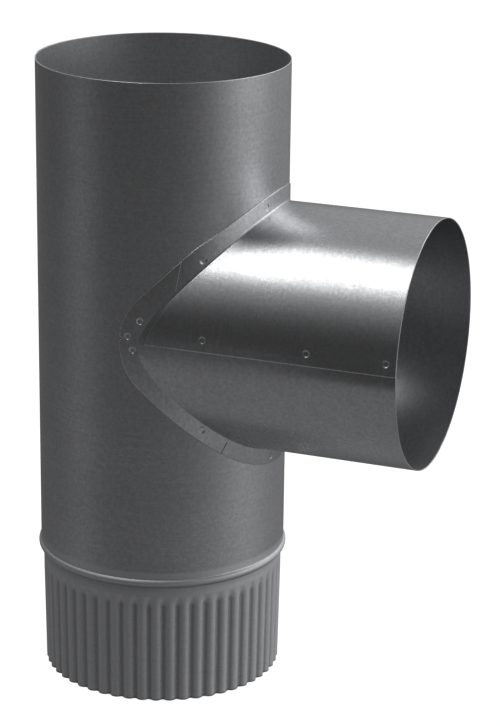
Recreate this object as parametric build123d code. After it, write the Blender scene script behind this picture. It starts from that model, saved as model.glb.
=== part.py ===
"""Duct tee of galvanised sheet: an upright run with a crimped end, and a branch collar welded onto it.

Millimetres. The run stands on its crimped end at z = 0 with its axis on Z, and the branch points along +X.
The near side of the branch is -Y: its lap seam and the measured spot welds are there.
"""
import os
from math import acos, atan2, cos, degrees, hypot, pi, radians, sin, sqrt

from build123d import *

# Sheet
SHEET = 0.55            # thickness of the galvanised sheet
SEAT = 0.05             # space left between the flange and the run's wall
PAST = 2.0              # how far a cutting body runs past the face it opens

# Run pipe
RUN_BORE = 152.4        # inside diameter of the plain end
RUN_HEIGHT = 388.0      # crimped end to plain end
RUN_LAP_EDGE = 193.0    # angle of the lap's outer edge, counted from the branch
RUN_LAP = 20.0          # width of the lap around the wall
RUN_LAP_RAMP = 40.0     # length of wall over which the outer layer climbs onto the inner one

# Crimped end, from the rim upward: fluted length, run-out of the flutes, plain band, bead
FLUTES = 53
FLUTE_LENGTH = 63.0     # flutes of full depth
FLUTE_FADE = 7.0        # run-out above them
FLUTE_DEPTH = 1.8       # ridge to valley
FLUTE_VALLEY_R = 1.7    # radius of a valley in section
FLUTE_PHASE = -2.4      # angle of the first ridge from the branch
CRIMP_TAPER = 1.0       # the ridges lean in by this much towards the rim
BAND_WIDTH = 5.5        # plain band between the flutes and the bead
BAND_STEP = 1.55        # the band lies this much inside the run's wall
BEAD_RISE = 1.45        # crest of the bead above the run's wall
BEAD_CREST_R = 2.6      # radius of the crest in section
BEAD_UPPER_R = 1.0      # blend from the run into the bead
BEAD_LOWER_R = 1.5      # blend from the bead into the band

# Branch collar
BRANCH_DRAW = 2.0       # the branch bore is this much narrower than the run's
BRANCH_Z = 229.7        # height of the branch axis
BRANCH_REACH = 175.0    # run axis to the mouth
BRANCH_LAP_EDGE = 1.9   # angle of the lap's outer edge above the near side
BRANCH_LAP = 14.5       # width of the lap around the wall
BRANCH_LAP_RAMP = 46.0  # length of wall over which the outer layer climbs onto the inner one
HOLE_EASE = 0.7         # the run's hole is this much wider than the branch bore, all round

# Saddle flange
FLANGE_WIDTH = 10.3     # flange beyond the branch wall, above and below the branch
FLANGE_SETBACK = 11.7   # the mitre edges lie this far behind the fold, along the branch
FLANGE_TIP_R = 39.0     # rounding of the tips where two mitre edges meet
FLANGE_TIP_RISE = 2.0   # the tips lie a little above the branch axis, at the seam
FOLD_R = 1.0            # inside radius of the fold
SLIT_WIDTH = 0.45
SLIT_STOP = 1.2         # sheet left between the fold's bend and a slit
SLITS = ((61.7, 1, 10.8), (36.3, -1, 33.5))     # angle of the root round the run, up or down, lean
NOTCH_RISE = 5.2        # open corner of the lap at the near tip, above the branch axis
NOTCH_WIDTH = 2.6
NOTCH_DEPTH = 2.8

# Laps
LAP_LEAVE = 4.0         # length of ramp in which the outer layer is still one with the wall
LAP_START = 0.3         # the branch lap's outer layer starts this far off the fold's bend
LAP_LINE_WIDTH = 1.2    # groove inside the pipe that shows the inner layer's edge
LAP_LINE_DEPTH = 0.25   # at that edge, running out over the width

# Spot welds
WELD_DIA = 4.6          # dent at the surface
WELD_FLOOR = 3.2        # flat floor of the dent
WELD_DEPTH = 0.38
NEAR_WELDS = ((14.6, 1, 4.7), (49.4, 1, 5.0), (77.3, 1, 9.6), (82.8, 1, 6.5), (80.6, -1, 1.8),
              (49.5, -1, 4.2), (8.4, -1, 6.0))  # angle round the run, up or down, height from the fold
FAR_WELDS = ((30.0, 1, 5.9), (58.0, 1, 8.1), (80.6, 1, 1.0), (58.0, -1, 6.6), (30.0, -1, 5.9))
BRANCH_WELDS = (6.4, 54.4, 118.6)               # along the branch lap, from the mouth
RUN_WELD_INSET = 6.4    # first weld of the run's lap, from the plain end
RUN_WELD_PITCH = 57.0

RUN_R = RUN_BORE / 2 + SHEET
BAND_R = RUN_R - BAND_STEP
FADE_Z = FLUTE_LENGTH + FLUTE_FADE
BEAD_UPPER_TURN = acos(1 - BEAD_RISE / (BEAD_CREST_R + BEAD_UPPER_R))
BEAD_LOWER_TURN = acos(1 - (BEAD_RISE + BAND_STEP) / (BEAD_CREST_R + BEAD_LOWER_R))
BEAD_Z = FADE_Z + BAND_WIDTH + (BEAD_CREST_R + BEAD_LOWER_R) * sin(BEAD_LOWER_TURN)
BEAD_TOP_Z = BEAD_Z + (BEAD_CREST_R + BEAD_UPPER_R) * sin(BEAD_UPPER_TURN)
BRANCH_BORE_R = (RUN_BORE - BRANCH_DRAW) / 2
BRANCH_R = BRANCH_BORE_R + SHEET
SEAT_R = RUN_R + SEAT
FLANGE_R = SEAT_R + SHEET
CLEAR_R = 2 * RUN_R     # radius that clears the whole pipe


def arc_angle(length, radius):
    """Angle in degrees that a length takes up around a radius."""
    return degrees(length / radius)


def sector(start, size, low, high):
    """Upright slice, between two angles, of a cylinder wider than the pipe."""
    return Pos(0, 0, low) * Rot(0, 0, start) * Cylinder(CLEAR_R, high - low, arc_size=size, align=None)


def along_run(radius):
    """Cylinder on the run's axis that passes the whole flange."""
    return Pos(0, 0, BRANCH_Z) * Rot(0, 0, 180) * Cylinder(radius, 2 * CLEAR_R)


def along_branch(radius, start, end):
    """Cylinder on the branch axis between two distances from the run's axis."""
    return Pos((start + end) / 2, 0, BRANCH_Z) * Rot(0, 90, 0) * Cylinder(radius, end - start)


def on_run(radius, angle, z):
    """Place on the run at an angle and a height, with Z outward and X downward."""
    return Pos(0, 0, z) * Rot(0, 0, angle) * Pos(radius, 0, 0) * Rot(0, 90, 0)


def on_branch(radius, angle, x):
    """Place on the branch at an angle above its near side, with Z outward and X along the branch."""
    return Pos(x, 0, BRANCH_Z) * Rot(90 - angle, 0, 0) * Pos(0, 0, radius)


def wave(z, ridge, turn, valley, turn_angle):
    """Closed outline at a height with one arc per ridge and one per valley, from their radii."""
    pitch = 360 / FLUTES

    def at(radius, angle):
        angle = radians(angle + FLUTE_PHASE)
        return (radius * cos(angle), radius * sin(angle), z)

    edges = []
    for i in range(FLUTES):
        a = i * pitch
        edges.append(Edge.make_three_point_arc(
            at(turn, a - turn_angle), at(ridge, a), at(turn, a + turn_angle)))
        edges.append(Edge.make_three_point_arc(
            at(turn, a + turn_angle), at(valley, a + pitch / 2), at(turn, a + pitch - turn_angle)))
    return Wire(edges)


def flute_radii(z, off):
    """Radii of the fluted wall at a height, moved outward by off, and the angle where two arcs meet.

    Wide ridge arcs are tangent to narrow valley arcs, so the ridge arc follows from depth and pitch.
    """
    ridge = BAND_R - CRIMP_TAPER * (1 - z / FLUTE_LENGTH)
    half = pi / FLUTES
    out = ridge - FLUTE_DEPTH + FLUTE_VALLEY_R
    ridge_r = (ridge ** 2 + out ** 2 - 2 * out * ridge * cos(half) - FLUTE_VALLEY_R ** 2) / (
        2 * (FLUTE_VALLEY_R + ridge - out * cos(half)))
    share = (ridge_r + off) / (ridge_r + FLUTE_VALLEY_R)
    x = ridge - ridge_r + share * (out * cos(half) - ridge + ridge_r)
    y = share * out * sin(half)
    return ridge + off, hypot(x, y), ridge - FLUTE_DEPTH + off, degrees(atan2(y, x))


def run_skin(off, past=0.0):
    """Solid inside the run's outer skin moved outward by off, and run past both ends."""
    top = RUN_HEIGHT + past
    wall = Line((RUN_R + off, top), (RUN_R + off, BEAD_TOP_Z))
    upper = JernArc(wall @ 1, wall % 1, BEAD_UPPER_R - off, degrees(BEAD_UPPER_TURN))
    crest = JernArc(upper @ 1, upper % 1, BEAD_CREST_R + off, -degrees(BEAD_UPPER_TURN + BEAD_LOWER_TURN))
    lower = JernArc(crest @ 1, crest % 1, BEAD_LOWER_R - off, degrees(BEAD_LOWER_TURN))
    band = Line(lower @ 1, (BAND_R + off, FADE_Z))
    inside = Polyline(band @ 1, (0, FADE_Z), (0, top), wall @ 0)
    pipe = revolve(Plane.XZ * make_face([wall, upper, crest, lower, band, inside]), Axis.Z)
    full = flute_radii(FLUTE_LENGTH, off)
    plain = [BAND_R + off] * 3
    rim = flute_radii(-past, off)
    rings = [wave(-past, *rim), wave(FLUTE_LENGTH, *full), wave(FADE_Z, *plain, full[3])]
    return pipe + Solid.make_loft(rings, ruled=True)


def swung(body, hinge, turn):
    """Body turned about the place where the outer layer of a lap leaves the wall."""
    return hinge * turn * hinge.inverse() * body


def dent():
    """Cutter of one spot weld: rim at the origin, flat floor below, its own seam off the pipe's lines."""
    floor = Pos(0, 0, -WELD_DEPTH / 2) * Cone(WELD_FLOOR / 2, WELD_DIA / 2, WELD_DEPTH)
    return Rot(0, 0, 35) * (floor + Pos(0, 0, PAST / 2) * Cylinder(WELD_DIA / 2, PAST))


def fold_height(angle):
    """Height of the fold above the branch axis at an angle round the run, zero beyond its tips."""
    return sqrt(max(0.0, BRANCH_R ** 2 - (FLANGE_R * sin(radians(angle))) ** 2))


def make_run():
    """Rolled run with its lap, bead, flutes and branch hole."""
    outer = run_skin(0)
    bore = run_skin(-SHEET, PAST)
    length = RUN_LAP + RUN_LAP_RAMP
    span = arc_angle(length, RUN_R)
    hinge = Rot(0, 0, RUN_LAP_EDGE - span) * Pos(RUN_R, 0, 0)
    layer = swung(outer, hinge, Rot(0, 0, -arc_angle(SHEET, length)))
    leave = arc_angle(LAP_LEAVE, RUN_R)
    layer = layer & sector(RUN_LAP_EDGE - span + leave, span - leave, 0, RUN_HEIGHT)
    line = arc_angle(LAP_LINE_WIDTH, RUN_R)
    inner_edge = RUN_LAP_EDGE - arc_angle(RUN_LAP, RUN_R)
    foot = Rot(0, 0, inner_edge - line) * Pos(RUN_R - SHEET, 0, 0)
    groove = swung(bore, foot, Rot(0, 0, -arc_angle(LAP_LINE_DEPTH, LAP_LINE_WIDTH)))
    groove = groove & sector(inner_edge - line, line, BEAD_TOP_Z, RUN_HEIGHT + PAST)
    pipe = outer + layer - bore - groove - along_branch(BRANCH_BORE_R + HOLE_EASE, 0, CLEAR_R)
    weld_r = RUN_R + SHEET * (length - RUN_LAP / 2) / length
    weld_angle = RUN_LAP_EDGE - arc_angle(RUN_LAP / 2, RUN_R)
    first = RUN_HEIGHT - RUN_WELD_INSET
    count = int((first - BEAD_TOP_Z - RUN_WELD_INSET) / RUN_WELD_PITCH) + 1
    return pipe - [on_run(weld_r, weld_angle, first - i * RUN_WELD_PITCH) * dent() for i in range(count)]


def flange_outline():
    """Body that trims the flange: mitre edges with rounded tips, inside a round edge above and below."""
    reach = FLANGE_R + FLANGE_SETBACK
    mitre = make_face(Polyline((0, 0), (reach, reach), (reach, -reach), close=True))
    mitre = fillet(mitre.vertices().sort_by(Axis.X)[0], FLANGE_TIP_R)
    mitre = Pos(-FLANGE_SETBACK, 0, BRANCH_Z + FLANGE_TIP_RISE) * Rot(90, 0, 0) * mitre
    return extrude(mitre, CLEAR_R, both=True) & along_branch(BRANCH_R + FLANGE_WIDTH, -CLEAR_R, CLEAR_R)


def fold_edge(collar, run_radius, branch_radius):
    """Closed edge of the collar that lies on both cylinders."""

    def off(edge):
        points = [edge @ t for t in (0.1, 0.4, 0.7)]
        return sum(abs(hypot(p.X, p.Y) - run_radius) + abs(hypot(p.Y, p.Z - BRANCH_Z) - branch_radius)
                   for p in points)

    return min(collar.edges(), key=off)


def slit(angle, side, lean):
    """Cutter of one slit on the near side, from just outside the fold past the flange's edge."""
    stop = FOLD_R + SLIT_STOP
    length = 2 * FLANGE_WIDTH
    place = on_run(FLANGE_R, -angle, BRANCH_Z + side * fold_height(angle)) * Rot(0, 0, -lean)
    return place * Pos(-side * (stop + length / 2), 0, 0) * Box(length, SLIT_WIDTH, 8 * SHEET)


def tip_notch():
    """Cutter of the open corner where the lap ends at the near tip of the flange."""
    tip_x = FLANGE_TIP_R * (sqrt(2) - 1) - FLANGE_SETBACK
    angle = degrees(acos(tip_x / FLANGE_R))
    half = NOTCH_WIDTH / 2
    mouth = -NOTCH_DEPTH
    corner = make_face(Polyline((2 * half, mouth), (0, NOTCH_DEPTH), (-2 * half, mouth), close=True))
    return on_run(FLANGE_R, -angle, BRANCH_Z + NOTCH_RISE) * extrude(corner, 4 * SHEET, both=True)


def make_flange():
    """Saddle flange by itself: slit, notched at the near tip and dented by its spot welds."""
    cutters = [along_run(SEAT_R), tip_notch()]
    for one in SLITS:
        cutters += [slit(*one), mirror(slit(*one), about=Plane.XZ)]
    for near, welds in ((-1, NEAR_WELDS), (1, FAR_WELDS)):
        for angle, side, height in welds:
            z = BRANCH_Z + side * (fold_height(angle) + height)
            cutters.append(on_run(FLANGE_R, near * angle, z) * dent())
    return (along_run(FLANGE_R) & flange_outline()) - cutters


def make_branch():
    """Rolled branch with its lap, and the flange folded out over the run."""
    tube = along_branch(BRANCH_R, 0, BRANCH_REACH)
    bore = along_branch(BRANCH_BORE_R, 0, BRANCH_REACH + PAST)
    length = BRANCH_LAP + BRANCH_LAP_RAMP
    span = arc_angle(length, BRANCH_R)
    leave = arc_angle(LAP_LEAVE, BRANCH_R)
    hinge = on_branch(BRANCH_R, BRANCH_LAP_EDGE + span, 0)
    mouth = Plane((BRANCH_REACH, 0, BRANCH_Z), x_dir=(0, -1, 0), z_dir=(-1, 0, 0))
    past_bend = along_run(FLANGE_R + FOLD_R + LAP_START)
    layer = swung(tube, hinge, Rot(-arc_angle(SHEET, length), 0, 0))
    layer = layer & mouth * sector(BRANCH_LAP_EDGE, span - leave, 0, BRANCH_REACH)
    tube += layer - past_bend
    weld_r = BRANCH_R + SHEET * (length - BRANCH_LAP / 2) / length
    weld_angle = BRANCH_LAP_EDGE + arc_angle(BRANCH_LAP / 2, BRANCH_R)
    tube -= [on_branch(weld_r, weld_angle, BRANCH_REACH - inset) * dent() for inset in BRANCH_WELDS]
    inner_edge = BRANCH_LAP_EDGE + arc_angle(BRANCH_LAP, BRANCH_R)
    line = arc_angle(LAP_LINE_WIDTH, BRANCH_R)
    foot = on_branch(BRANCH_BORE_R, inner_edge + line, 0)
    groove = swung(bore, foot, Rot(-arc_angle(LAP_LINE_DEPTH, LAP_LINE_WIDTH), 0, 0))
    groove = groove & mouth * sector(inner_edge, line, -PAST, BRANCH_REACH) - past_bend
    collar = tube - bore - groove - along_run(SEAT_R) + make_flange() - bore
    collar = fillet(fold_edge(collar, FLANGE_R, BRANCH_R), FOLD_R)
    return fillet(fold_edge(collar, SEAT_R, BRANCH_BORE_R), FOLD_R + SHEET)


def main():
    os.makedirs("parts", exist_ok=True)
    export_step(make_run(), "parts/run_pipe.step")
    export_step(make_branch(), "parts/branch_collar.step")


if __name__ == "__main__":
    main()
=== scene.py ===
# %% [markdown]
# # A duct tee in galvanised sheet
# The tee is two rolled sheets: an upright run with a crimped end, and a branch whose flange is folded out
# and spot-welded over the run. The solids already hold the bead, the flutes, the laps and the weld dents,
# so this script only gives them their zinc finish, a camera and a studio.

# %% Load the solids
import math

import bmesh
import bpy
from mathutils import Matrix, Vector

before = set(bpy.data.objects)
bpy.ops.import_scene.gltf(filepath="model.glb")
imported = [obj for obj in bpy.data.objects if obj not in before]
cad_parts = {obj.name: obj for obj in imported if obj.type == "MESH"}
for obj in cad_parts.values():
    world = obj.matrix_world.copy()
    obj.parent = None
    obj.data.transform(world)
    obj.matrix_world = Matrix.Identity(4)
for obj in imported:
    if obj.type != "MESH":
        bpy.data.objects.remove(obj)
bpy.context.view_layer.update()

# %% [markdown]
# ## Node arithmetic
# A finish is a sum of small effects, and it reads best as a sum. `Value` wraps a float socket so that
# ordinary arithmetic makes Math nodes. `Tree.add` makes any other node: its settings come first, because
# they can change which sockets it has, and then its inputs.

# %% Wrap sockets
class Value:
    """A float socket that Python's operators turn into Math nodes."""

    def __init__(self, tree, socket):
        self.tree = tree
        self.socket = socket

    def math(self, operation, *terms):
        return self.tree.add("Math", {"operation": operation}, dict(enumerate(terms)))

    def __add__(self, other):
        return self.math("ADD", self, other)

    def __sub__(self, other):
        return self.math("SUBTRACT", self, other)

    def __rsub__(self, other):
        return self.math("SUBTRACT", other, self)

    def __mul__(self, other):
        return self.math("MULTIPLY", self, other)

    def __truediv__(self, other):
        return self.math("DIVIDE", self, other)

    def __pow__(self, other):
        return self.math("POWER", self, other)

    def __rpow__(self, other):
        return self.math("POWER", other, self)

    def __abs__(self):
        return self.math("ABSOLUTE", self)

    def step(self, low, high):
        """0 below low, 1 above high and a smooth rise between; a low above high turns it round."""
        sides = {1: low, 2: high} if low < high else {1: high, 2: low, 3: 1.0, 4: 0.0}
        return self.tree.add("MapRange", {"interpolation_type": "SMOOTHSTEP"}, {0: self, **sides})

    __radd__ = __add__
    __rmul__ = __mul__


class Tree:
    """A node tree that starts empty."""

    def __init__(self, owner):
        owner.use_nodes = True
        self.nodes = owner.node_tree.nodes
        self.links = owner.node_tree.links
        self.nodes.clear()

    def add(self, kind, settings=None, inputs=None, out=0):
        node = self.nodes.new("ShaderNode" + kind)
        for name, setting in (settings or {}).items():
            setattr(node, name, setting)
        for name, term in (inputs or {}).items():
            if isinstance(term, Value):
                self.links.new(term.socket, node.inputs[name])
            else:
                node.inputs[name].default_value = term
        return Value(self, node.outputs[out]) if node.outputs else node

    def mix(self, amount, low, high):
        """Blend of two colours by a float."""
        return self.add("Mix", {"data_type": "RGBA"}, {0: amount, 6: low, 7: high}, out=2)


# %% [markdown]
# ## Camera
# The photograph looks down on the tee from the front, a little towards the branch's mouth. The place and the
# lens were fitted to the rims, the walls and the mouth, with the tee's sizes held. That fixes the perspective
# as well as the angle. The picture's own middle is the lens's middle, so no shift is needed.

# %% Set up the camera
FOCAL_PX = 2495.9       # focal length, in pixels of the picture
PICTURE_HIGH = 726      # pixels
CAMERA_PLACE = Vector((0.57228, -1.35729, 0.68396))
AZIMUTH = 0.36228       # radians, from the near side towards the branch
ELEVATION = 0.32006     # radians above the horizon
ROLL = 0.01353          # radians


def toward(turn, rise):
    """Unit vector some degrees right of the camera's side of the tee and some above the horizon."""
    turn = AZIMUTH + math.radians(turn)
    rise = math.radians(rise)
    return Vector((math.sin(turn) * math.cos(rise), -math.cos(turn) * math.cos(rise), math.sin(rise)))


back = toward(0, math.degrees(ELEVATION))
level = toward(90, 0)
right = level * math.cos(ROLL) + back.cross(level) * math.sin(ROLL)
axes = Matrix((right, back.cross(right), back)).transposed().to_4x4()
camera = bpy.data.objects.new("camera", bpy.data.cameras.new("camera"))
bpy.context.scene.collection.objects.link(camera)
camera.data.lens = FOCAL_PX / PICTURE_HIGH * camera.data.sensor_width
camera.matrix_world = Matrix.Translation(CAMERA_PLACE) @ axes
bpy.context.scene.camera = camera
print("lens:", round(camera.data.lens, 2), "mm")

# %% [markdown]
# ## Places on the sheet
# The sheet isn't the same all over. Rollers worked the bead and the crimped end, so they are paler and more
# matt. A band just above the bead is paler as well: a painted sheen for its upward-facing slope.
# Cut edges are pale, partly as uncoated steel and partly as a painted highlight. Painted shade darkens the
# tight corners, the flute hollows and the band under the bead. Two small bends of the real sheet aren't in
# the solids: the flange stands off the run a little, and the branch is a little flat beside its lap. Masks
# painted on a texture would need an unwrapped mesh, so each of these is worked out from the place on the tee.

# %% Say where the sheet differs
RUN_BORE = 0.0762       # inside radius of the run, in metres as all places here
FLANGE_SKIN = 0.0774    # radius of the flange's outer face about the run's axis
BEAD_TOP = 0.0823       # where the bead and the crimped end begin
BEAD_FOOT = 0.0755      # where the bead's underside meets the plain band
BAND_R = 0.0752         # radius of the ridges under the bead
CRIMP_TAPER = 0.0010    # the ridges lean in by this much towards the rim
FLUTE_LENGTH = 0.063
FLUTE_DEPTH = 0.0018
BRANCH_Z = 0.2297       # height of the branch axis
LAP_Z = 0.2322          # height of the branch lap's edge
BRANCH_BORE = 0.0752    # inside radius of the branch
MOUTH_X = 0.175         # run axis to the branch's mouth
SKIN = 0.0003           # depth in the sheet at which its inside begins
STAND_OFF = 1.7         # lean of the flange per metre above the branch axis
STAND_OFF_LOW = 1.5     # and this much more below it
FLAT = 0.15             # lean beside the lap, at the mouth


def length(a, b):
    return (a * a + b * b) ** 0.5


def branch_form(x, y, z):
    """Amounts by which the branch's finish departs from plain zinc."""
    off_run = length(x, y) - FLANGE_SKIN
    height = z - BRANCH_Z
    above_lap = z - LAP_Z
    stands_off = height * STAND_OFF + height.math("MINIMUM", height, 0.0) * STAND_OFF_LOW
    beside_lap = above_lap.step(-0.010, -0.003) * above_lap.step(0.016, 0.004) * y.step(0.0, -0.03)
    flat = beside_lap * x.step(0.08, MOUTH_X) * FLAT
    inside = length(y, height).step(BRANCH_BORE + SKIN, BRANCH_BORE)
    fold = off_run.step(0.0004, 0.0010) * off_run.step(0.0090, 0.0060)
    low_rim = x.step(MOUTH_X - 0.0020, MOUTH_X - 0.0010) * z.step(LAP_Z, LAP_Z - 0.010)
    return {
        "lean": stands_off * off_run.step(0.0012, 0.0) + flat,
        "worked": 0.0,
        "matt": inside * 0.4,
        # pale cut edges, partly uncoated steel and partly a painted highlight; not at the fold or the mouth's
        # lower rim
        "bare_and_highlight": (1 - fold) * (1 - low_rim * 0.8),
        # painted shade: the branch is darkened a little in its tight corners
        "corner_shade": 0.3,
        "recess_shade": 0.0,
    }


def run_form(x, y, z):
    """Amounts by which the run's finish departs from plain zinc."""
    worked = z.step(BEAD_TOP, BEAD_TOP - 0.001)
    bead = worked * z.step(BEAD_TOP - 0.010, BEAD_TOP - 0.008)
    # a band just above the bead is paler and rougher: a painted sheen for the bead's upper slope catching the
    # light
    shoulder_sheen = z.step(BEAD_TOP - 0.001, BEAD_TOP) * z.step(BEAD_TOP + 0.005, BEAD_TOP + 0.003)
    # a dark band under the bead: painted shade below its crest
    foot_shade = z.step(BEAD_FOOT - 0.0005, BEAD_FOOT + 0.0008) * z.step(BEAD_FOOT + 0.0040, BEAD_FOOT + 0.0022)
    inside = length(x, y).step(RUN_BORE + SKIN, RUN_BORE)
    ridge = BAND_R - CRIMP_TAPER * (1 - z / FLUTE_LENGTH)
    # the hollows between the flutes are darkened: painted shade
    valley_shade = (ridge - length(x, y)).step(0.0004, FLUTE_DEPTH) * z.step(FLUTE_LENGTH + 0.006, FLUTE_LENGTH)
    return {
        "lean": 0.0,
        # worked zone, plus the painted sheen above the bead
        "worked": worked + shoulder_sheen,
        "matt": inside + bead * 0.75,
        "bare_and_highlight": 1.0,
        # painted shade in tight corners, on the run only below the branch and inside it
        "corner_shade": z.step(BRANCH_Z + 0.02, BRANCH_Z - 0.02) + inside,
        # painted shade in the flute hollows and under the bead
        "recess_shade": valley_shade * 0.3 + foot_shade * 0.4,
    }


print("branch lap at", LAP_Z, "m, bead from", BEAD_FOOT, "to", BEAD_TOP, "m")

# %% [markdown]
# ## Galvanised sheet
# Zinc from the bath is a dull grey metal. Its crystals mottle it, the rolling leaves fine streaks around the
# pipe, and handling leaves hairline scratches. All of that is slight: the look comes from the long soft
# reflections that a rolled sheet draws out of the room. Noise at a few scales gives the marks, and one
# function dresses both sheets, so that they stay the same metal.

# %% Make the zinc finish
ZINC = (0.610, 0.616, 0.624, 1)
ZINC_DULL = (0.400, 0.405, 0.411, 1)
# paler zinc where rollers worked it, also the painted sheen above the bead
ZINC_WORKED_AND_SHEEN = (0.680, 0.685, 0.690, 1)
# grey towards which painted shade darkens corners, flute hollows and the band under the bead
PAINTED_SHADE = (0.16, 0.16, 0.16, 1)
# pale cut edges: uncoated steel, partly a painted highlight
BARE_AND_HIGHLIGHT = (0.80, 0.80, 0.80, 1)
SPANGLE = 480           # zinc crystals, in features per metre as the next five
CLOUD = 16              # wide mottling
STREAK = 900            # rolling streaks
HAIR = 60               # hairline scratches
HAIR_PATCH = 22         # patches where they gather
GRAIN = 1100            # fine relief
DRAWN = 0.03            # share of those features that is left along a streak
ROUGH = 0.29
EDGE_R = 0.0007         # rounding of the cut edges
CORNER = 0.0018         # reach of the painted shade in a tight corner
RELIEF = 0.0002         # depth of the grain


def noise(tree, place, scale, detail, stretch=(1, 1, 1)):
    """Noise from 0 to 1 with a given number of features per metre, drawn out by stretch."""
    place = tree.add("Mapping", None, {"Vector": place, "Scale": [scale * s for s in stretch]})
    return tree.add("TexNoise", None, {"Vector": place, "Scale": 1.0, "Detail": detail, "Roughness": 0.6})


def turned_up(tree, normal, rise):
    """Normal that leans up by a small rise, or down by a negative one."""
    up = tree.add("CombineXYZ", None, {2: rise})
    lean = tree.add("VectorMath", {"operation": "ADD"}, {0: normal, 1: up})
    return tree.add("VectorMath", {"operation": "NORMALIZE"}, {0: lean})


def galvanised(name, around, form):
    """Zinc finish of a rolled sheet with its streaks around the pipe: around is 0 on the pipe's own axis."""
    material = bpy.data.materials.new(name)
    tree = Tree(material)
    place = tree.add("TexCoord", None, None, out=3)
    x, y, z = (tree.add("SeparateXYZ", None, {0: place}, out=i) for i in range(3))
    amount = form(x, y, z)
    drawn = [DRAWN if a else 1.0 for a in around]
    spangle = noise(tree, place, SPANGLE, 3)
    cloud = noise(tree, place, CLOUD, 3)
    lines = noise(tree, place, STREAK, 2, drawn)
    dull = (spangle - 0.5) * 1.6 + (cloud - 0.5) * 0.6 + (lines - 0.5) * 0.5 + 0.5
    hair = abs(noise(tree, place, HAIR, 1, drawn) - 0.5).step(0.006, 0.001)
    hair = hair * noise(tree, place, HAIR_PATCH, 1).step(0.58, 0.70)
    rough = ROUGH + (spangle - 0.5) * 0.08 + (cloud - 0.5) * 0.10 + (lines - 0.5) * 0.06
    rough = rough + hair * 0.12 + amount["matt"] * 0.2 + amount["worked"] * 0.14
    soft = tree.add("Bevel", {"samples": 6}, {"Radius": EDGE_R})
    true = tree.add("NewGeometry", None, None, out=1)
    bend = tree.add("VectorMath", {"operation": "DOT_PRODUCT"}, {0: soft, 1: true}, out=1)
    edge = bend.step(0.995, 0.93) * amount["bare_and_highlight"]
    upward = tree.add("SeparateXYZ", None, {0: soft}, out=2).step(-0.1, 0.3)
    grain = noise(tree, place, GRAIN, 2) + lines * 0.5
    normal = turned_up(tree, soft, amount["lean"])
    bump = tree.add("Bump", None, {"Strength": 0.2, "Distance": RELIEF, "Height": grain, "Normal": normal})
    # tight corners found by ambient occlusion, and the recesses that the forms give, darken towards a grey:
    # painted shade
    open_to_air = tree.add("AmbientOcclusion", {"samples": 8}, {"Distance": CORNER}, out=1)
    # paler where rollers worked the sheet, and as painted sheen just above the bead
    colour = tree.mix(amount["worked"] * 0.6, tree.mix(dull, ZINC, ZINC_DULL), ZINC_WORKED_AND_SHEEN)
    colour = tree.mix(open_to_air.step(0.90, 0.40) * amount["corner_shade"] + amount["recess_shade"], colour, PAINTED_SHADE)
    # cut edges turn pale, as uncoated steel and partly as a painted highlight along them
    colour = tree.mix(edge, colour, BARE_AND_HIGHLIGHT)
    shader = tree.add("BsdfPrincipled", None, {
        "Base Color": colour, "Metallic": 1 - edge * upward * 0.45, "Roughness": rough, "Normal": bump})
    tree.add("OutputMaterial", None, {"Surface": shader})
    return material


# %% Dress the two sheets
FINISHES = {
    "run_pipe": galvanised("zinc_run", (1, 1, 0), run_form),
    "branch_collar": galvanised("zinc_branch", (0, 1, 1), branch_form),
}
for node, material in FINISHES.items():
    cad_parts[node].data.materials.clear()
    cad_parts[node].data.materials.append(material)
    print(node, "wears", material.name)

# %% [markdown]
# ## Softbox
# The bright band along the branch is the reflection of a large lamp overhead. A light in the world would do,
# but a lamp with a real size and place also lights the tee from near by.

# %% Hang the softbox
SOFTBOX_PLACE = Vector((-0.24, -0.30, 1.21))
SOFTBOX_AIM = Vector((0.12, 0, 0.23))
SOFTBOX_SIZE = 0.5
SOFTBOX_RADIANCE = 3.35

lamp = bpy.data.lights.new("overhead", "AREA")
lamp.size = SOFTBOX_SIZE
lamp.energy = SOFTBOX_RADIANCE * math.pi * SOFTBOX_SIZE ** 2
softbox = bpy.data.objects.new("overhead", lamp)
aim = (SOFTBOX_AIM - SOFTBOX_PLACE).to_track_quat("-Z", "Y")
softbox.matrix_world = Matrix.Translation(SOFTBOX_PLACE) @ aim.to_matrix().to_4x4()
softbox.visible_camera = False
bpy.context.scene.collection.objects.link(softbox)
print("softbox:", round(lamp.energy, 3), "W")

# %% [markdown]
# ## Room
# The photograph is a cut-out on white, and its metal doesn't show that white. It shows a room, with lights at
# the right and high at the back right, a pale wall behind, a dim table below and a dark side around the
# camera. The world holds that room for reflections, and plain white for the camera only. A room of real
# walls would do too, but soft lobes of light are easier to match to a picture.

# %% Paint the room
WALL = 0.25
TABLE = 0.14
UNDERSIDE = 0.05        # all that lies below the horizon
AMBIENT = 0.05
BLUE = 1.02             # the room is a trace blue
LIGHTS = (              # turn, rise and spread in degrees, then strength
    (84, 18, 20, 1.5),              # right of the run
    (140, 14, 22, 0.48),            # back right
    (-49.73, 46.15, 12, 0.366),     # high at the front left
    (126.95, 51.21, 14, 2.53),      # high at the back right, which lights the branch beside the fold
    (40, -36, 16, 0.07),            # low at the front right
    (-40, -50, 20, -0.03),          # dim patch, low at the front left
    (-78, -9, 12, 0.10),            # left
    (-150, -5, 30, 0.03),           # back left
    (-97, 52, 14, 0.5),             # high at the left
)

world = bpy.data.worlds.new("studio")
bpy.context.scene.world = world
sky = Tree(world)
ray = sky.add("TexCoord", None, None, out=0)


def facing(direction):
    """Cosine between the ray and a direction."""
    return sky.add("VectorMath", {"operation": "DOT_PRODUCT"}, {0: ray, 1: direction}, out=1)


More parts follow.
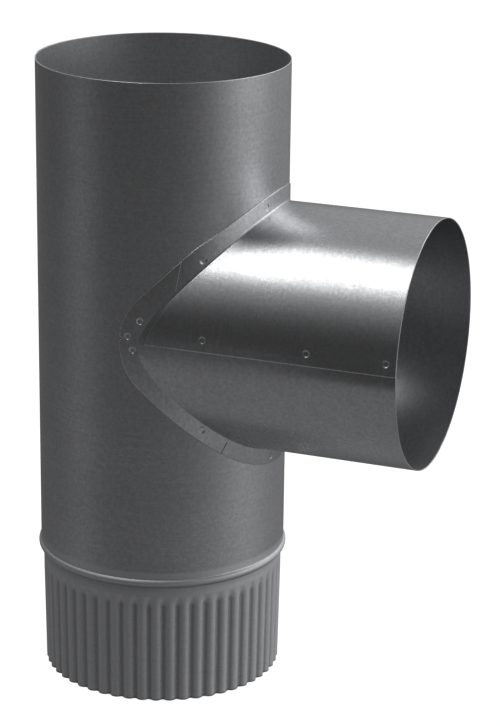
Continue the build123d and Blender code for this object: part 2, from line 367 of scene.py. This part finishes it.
def glow(direction, spread, strength):
    """Round soft light in the room: its spread is an angle in degrees."""
    return math.e ** ((facing(direction) - 1) * (1 / math.radians(spread) ** 2)) * strength


down = facing((0, 0, -1))
wall = facing(toward(180, 0)).step(0.0, 0.5) * facing((0, 0, 1)).step(-0.10, 0.40)
table = down.step(0.28, 0.55) * facing(toward(0, 0)).step(-0.85, -0.35)
room = wall * WALL + down.step(0.02, 0.26) * UNDERSIDE + table * TABLE + AMBIENT
for turn, rise, spread, strength in LIGHTS:
    room = room + glow(toward(turn, rise), spread, strength)
seen = sky.add("LightPath", None, None, out=0)
grey = sky.add("CombineColor", None, {0: room, 1: room, 2: room * BLUE})
surround = sky.add("Background", None, {"Color": grey})
white = sky.add("Background", None, {"Color": (1, 1, 1, 1)})
sky.add("OutputWorld", None, {"Surface": sky.add("MixShader", None, {0: seen, 1: surround, 2: white})})
print("lights in the room:", len(LIGHTS))

# %% [markdown]
# ## Floor
# The tee stands on its crimped rim. The floor is a wide disc of paper that the camera sees as white, with a
# faint shadow. In the metal it doesn't show at all, as in the cut-out.

# %% Lay the floor
FLOOR_R = 3.0
PAPER = (0.3, 0.3, 0.3, 1)
PAPER_GLOW = (0.92, 0.92, 0.92, 1)

mesh = bpy.data.meshes.new("floor")
disc = bmesh.new()
bmesh.ops.create_circle(disc, cap_ends=True, segments=96, radius=FLOOR_R)
disc.to_mesh(mesh)
disc.free()
floor = bpy.data.objects.new("floor", mesh)
bpy.context.scene.collection.objects.link(floor)
paper = bpy.data.materials.new("paper")
tree = Tree(paper)
shade = tree.add("BsdfDiffuse", None, {"Color": PAPER})
bright = tree.add("AddShader", None, {0: shade, 1: tree.add("Emission", None, {"Color": PAPER_GLOW})})
seen = tree.add("LightPath", None, None, out=0)
tree.add("OutputMaterial", None, {"Surface": tree.add("MixShader", None, {0: seen, 1: shade, 2: bright})})
mesh.materials.append(paper)
floor.visible_glossy = False
print("floor radius:", FLOOR_R, "m")

# %% Finish
bpy.context.scene.view_settings.view_transform = "Standard"
